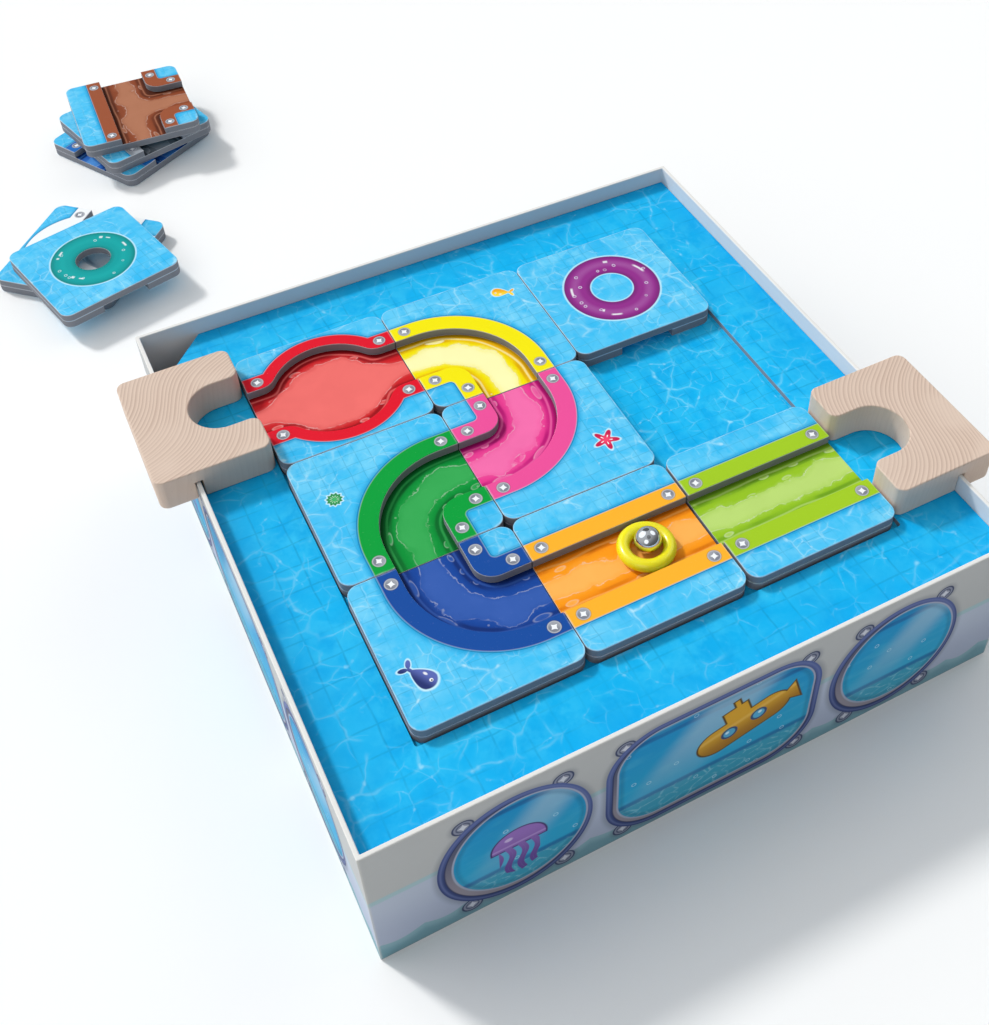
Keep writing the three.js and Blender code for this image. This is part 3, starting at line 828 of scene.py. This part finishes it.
def ring_plastic():
    """Glossy yellow plastic, a little cloudy."""
    net = Net("ring_plastic")
    p = net.place()
    cloud = net.rand(p, 5.0, 3.0, 0.6, 3.0)
    colour = net.mix(cloud * 0.5, lin("f6ea12"), lin("f0dc0a"))
    pits = net.rand(p, 0.5, 3.0, 0.7, 7.0)
    return net.finish(colour, 0.22 + cloud * 0.12, net.bump(pits, 0.01, 0.5), IOR=1.5,
                      Coat_Weight=0.25, Coat_Roughness=0.12, Subsurface_Weight=0.08)


# ---------------------------------------------------------------- boards from the frame
def dress(node, choose, materials, edge=0.18, segments=2):
    """Give a CAD board its materials by face, join its seams and round its edges a little."""
    thing = NODES[node]
    mesh = thing.data
    if "custom_normal" in mesh.attributes:
        mesh.attributes.remove(mesh.attributes["custom_normal"])
    mesh.materials.clear()
    for material in materials:
        mesh.materials.append(material)
    for face in mesh.polygons:
        face.material_index = choose(face)
        face.use_smooth = True
    weld = thing.modifiers.new("weld", "WELD")
    weld.merge_threshold = 2e-6
    flat = thing.modifiers.new("flat", "DECIMATE")
    flat.decimate_type = "DISSOLVE"
    flat.angle_limit = math.radians(0.3)
    flat.delimit = {"MATERIAL"}
    soft = thing.modifiers.new("edge", "BEVEL")
    soft.width = edge * 0.001
    soft.segments = segments
    soft.limit_method = "ANGLE"
    soft.angle_limit = math.radians(40)
    soft.harden_normals = True
    return thing


def by_height(face):
    """0 for an upward face, 1 for a side, 2 for an underside."""
    if face.normal.z > 0.7:
        return 0
    return 2 if face.normal.z < -0.7 else 1


# pale lines on a tile's edge: height, half width, strength
SEAMS = [(GLUE_LINE, 0.36, 0.75), (6.66, 0.34, 0.8), (0.1, 0.3, 0.3)]
backing = white_paper("tile_backing", "8fd3f2", "6cc3ea")
bare_paper = white_paper("board_backing", "d9dde3", "c8ced8")
edge_field = board_edge("tile_edge_field", FIELD_Z, SEAMS)
edges = {
    0: board_edge("tile_edge_level_1", 0.0, SEAMS),
    LEVEL: board_edge("tile_edge_level_2", LEVEL, SEAMS),
    2 * LEVEL: board_edge("tile_edge_level_3", 2 * LEVEL, SEAMS),
    FIELD_Z: edge_field,
}

for index, (tile, facts) in enumerate(TILES.items()):
    side = edges[facts[2]]
    seed = index * 5.0
    if facts[4] == "swim":
        face = swim_face(tile, seed)
        dress(tile + "_face", by_height, [face, side, backing])
        for node in [n for n in NODES if n.startswith(tile + "_rail")]:
            dress(node, by_height, [backing, side, backing])
        continue
    top, floor = rail_top(tile, seed), floor_print(tile, seed)
    for node in [n for n in NODES if n.startswith(tile + "_")]:
        dress(node, by_height, [floor if node.endswith("_base") else top, side, backing])

pool = pool_print("pool_print", 12.5, 1.0, 9.2, 31.0)
recess = pool_print("recess_print", 10.0, 1.15, 4.7, 37.0)
insert_edge = board_edge("insert_edge", FIELD_Z, [(1.94, 0.14, 0.5)], "8f949e")
dress("pool_board", by_height, [pool, insert_edge, bare_paper], 0.15)
dress("recess_floor", by_height, [recess, insert_edge, bare_paper], 0.15)
riser_board = board_edge("riser_board", 0.0, [], "6a6e77")
dress("insert_riser", lambda face: 0, [riser_board], 0.15)


def box_faces(face):
    """Outer walls by side, then the inside, the rim and the underside."""
    c, n = face.center * 1000, face.normal
    if n.z < -0.7:
        return 6
    if n.z > 0.7:
        return 5 if c.z > 10 else 4
    if max(abs(c.x), abs(c.y)) < WALL_OUT - 0.5:
        return 4
    if abs(n.y) > 0.7:
        return 0 if n.y < 0 else 2
    return 1 if n.x > 0 else 3


dress("box_tray", box_faces, [
    wall_print("wall_front", 0, True, True),
    wall_print("wall_right", 90, False, True),
    wall_print("wall_back", 180, True, True),
    wall_print("wall_left", 270, True, False),
    white_paper("box_lining", "e7e8ea", "dadde2"),
    white_paper("box_rim", "eae8e4", "dfe1e3"),
    white_paper("box_underside", "d5d8dc", "c4c8ce"),
], 0.35, 3)

start_wood = beech("beech_start", (-101.0, 58.0), 46.0, 4.0, 1.0)
finish_wood = beech("beech_finish", (104.0, -58.0), 58.0, 3.6, 8.0)
dress("start_block", lambda face: 0, [start_wood], 0.55, 3)
dress("finish_block", lambda face: 0, [finish_wood], 0.55, 3)


# ---------------------------------------------------------------- ring and ball
def mesh_object(name, bm, material):
    """A smooth object of a bmesh, in the scene."""
    mesh = bpy.data.meshes.new(name)
    bm.to_mesh(mesh)
    bm.free()
    for face in mesh.polygons:
        face.use_smooth = True
    mesh.materials.append(material)
    made = bpy.data.objects.new(name, mesh)
    bpy.context.scene.collection.objects.link(made)
    return made


def moulded_ring():
    """A solid ring with the fine parting line that its mould leaves round its waist."""
    low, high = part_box("swim_ring")
    centre = (low + high) / 2
    outer = (high.x - low.x) / 2
    tube = (high.z - low.z) / 2
    middle = outer - tube
    around, along = 40, 96
    bm = bmesh.new()
    rows = []
    for i in range(along):
        a = 2 * math.pi * i / along
        row = []
        for k in range(around):
            b = 2 * math.pi * k / around
            swell = tube * (0.992 + 0.008 * math.exp(-(math.sin(b) / 0.10) ** 2))
            r = middle + swell * math.cos(b)
            spot = Vector((r * math.cos(a), r * math.sin(a), swell * math.sin(b)))
            row.append(bm.verts.new(centre + spot))
        rows.append(row)
    for i in range(along):
        for k in range(around):
            bm.faces.new([rows[i][k], rows[(i + 1) % along][k],
                          rows[(i + 1) % along][(k + 1) % around], rows[i][(k + 1) % around]])
    return mesh_object("swim_ring_moulded", bm, ring_plastic())


ring = moulded_ring()
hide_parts("swim_ring")
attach(ring, "swim_ring")

low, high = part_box("steel_ball")
bm = bmesh.new()
bmesh.ops.create_icosphere(bm, subdivisions=5, radius=(high.z - low.z) / 2)
bmesh.ops.translate(bm, verts=bm.verts, vec=(low + high) / 2)
ball = mesh_object("steel_ball_polished", bm, ball_steel())
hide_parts("steel_ball")
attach(ball, "steel_ball")

# ---------------------------------------------------------------- floor, light, camera
bm = bmesh.new()
bmesh.ops.create_grid(bm, x_segments=8, y_segments=8, size=40.0)
bmesh.ops.translate(bm, verts=bm.verts, vec=(0, 0, -0.0002))
net = Net("studio_floor")
cloudy = net.rand(net.place(), 240.0, 2.0, 0.5, 1.0) * 0.5
pale_grey = net.mix(cloudy, (0.96, 0.96, 0.96, 1), (0.94, 0.94, 0.94, 1))
table = mesh_object("studio_floor", bm, net.finish(pale_grey, 0.7, Specular_IOR_Level=0.2))

scene = bpy.context.scene
scene.view_settings.view_transform = "Standard"
scene.view_settings.look = "None"
world = bpy.data.worlds.new("studio")
scene.world = world
world.use_nodes = True
sky = world.node_tree
background = sky.nodes["Background"]
where = sky.nodes.new("ShaderNodeTexCoord")


def toward(vector):
    """How far a direction of the sky leans towards vector."""
    made = sky.nodes.new("ShaderNodeVectorMath")
    made.operation = "DOT_PRODUCT"
    sky.links.new(where.outputs["Generated"], made.inputs[0])
    made.inputs[1].default_value = Vector(vector).normalized()
    return made.outputs["Value"]


def between(socket, start, end, low, high):
    """low at start, high at end, smooth between."""
    made = sky.nodes.new("ShaderNodeMapRange")
    made.interpolation_type = "SMOOTHSTEP"
    sky.links.new(socket, made.inputs["Value"])
    for key, value in (("From Min", start), ("From Max", end), ("To Min", low), ("To Max", high)):
        made.inputs[key].default_value = value
    return made.outputs["Result"]


def total(a, b):
    made = sky.nodes.new("ShaderNodeMath")
    sky.links.new(a, made.inputs[0])
    sky.links.new(b, made.inputs[1])
    return made.outputs[0]


# bright overhead and towards the back left, dim low at the front right
light = between(toward((-0.34, 0.56, 0.70)), -0.55, 0.85, 0.115, 0.60)
# three soft boxes, then two dark screens: direction, cosines of the rim, brightness
for way, start, end, strength in (
        ((-0.55, 0.75, 0.85), 0.880, 0.895, 0.85),
        ((0.75, 0.15, 0.75), 0.945, 0.955, 0.9),
        ((-0.75, -0.75, 0.75), 0.948, 0.960, 1.0),
        ((0.25, 0.85, 0.55), 0.940, 0.950, -0.46),
        ((-0.02, -0.25, 0.95), 0.955, 0.965, -0.30)):
    light = total(light, between(toward(way), start, end, 0.0, strength))
sky.links.new(light, background.inputs[1])
background.inputs[0].default_value = (0.95, 0.98, 1.0, 1)
# the backdrop itself is an even pale tone; only its light is uneven
backdrop = sky.nodes.new("ShaderNodeBackground")
backdrop.inputs[0].default_value = (0.88, 0.90, 0.92, 1)
seen = sky.nodes.new("ShaderNodeMixShader")
sky.links.new(sky.nodes.new("ShaderNodeLightPath").outputs["Is Camera Ray"], seen.inputs[0])
sky.links.new(background.outputs[0], seen.inputs[1])
sky.links.new(backdrop.outputs[0], seen.inputs[2])
sky.links.new(seen.outputs[0], sky.nodes["World Output"].inputs[0])

sun = bpy.data.lights.new("key", "SUN")
sun.energy = 1.86
sun.angle = math.radians(8)
sun.color = (1.0, 0.985, 0.96)
key = bpy.data.objects.new("key", sun)
scene.collection.objects.link(key)
key.rotation_mode = "QUATERNION"
key.rotation_quaternion = Vector((0.55, -0.95, -1.05)).to_track_quat("-Z", "Y")

# the lens is its focal length in points of an image 1025 high, on a 36 mm sensor
SENSOR = 36
camera = bpy.data.cameras.new("camera")
camera.sensor_width = SENSOR
camera.lens = 1347.0 / 1025 * SENSOR
camera.shift_x = -0.0764
camera.shift_y = -0.1638
camera.clip_start, camera.clip_end = 0.01, 20
eye = bpy.data.objects.new("camera", camera)
scene.collection.objects.link(eye)
right = Vector((0.88541, -0.46479, -0.00436)).normalized()
ahead = Vector((0.33333, 0.64145, -0.69096)).normalized()
up = right.cross(ahead).normalized()
eye.matrix_world = Matrix.Translation((-0.13579, -0.28123, 0.40192)) @ Matrix(
    (right, up, -ahead)).transposed().to_4x4()
scene.camera = eye
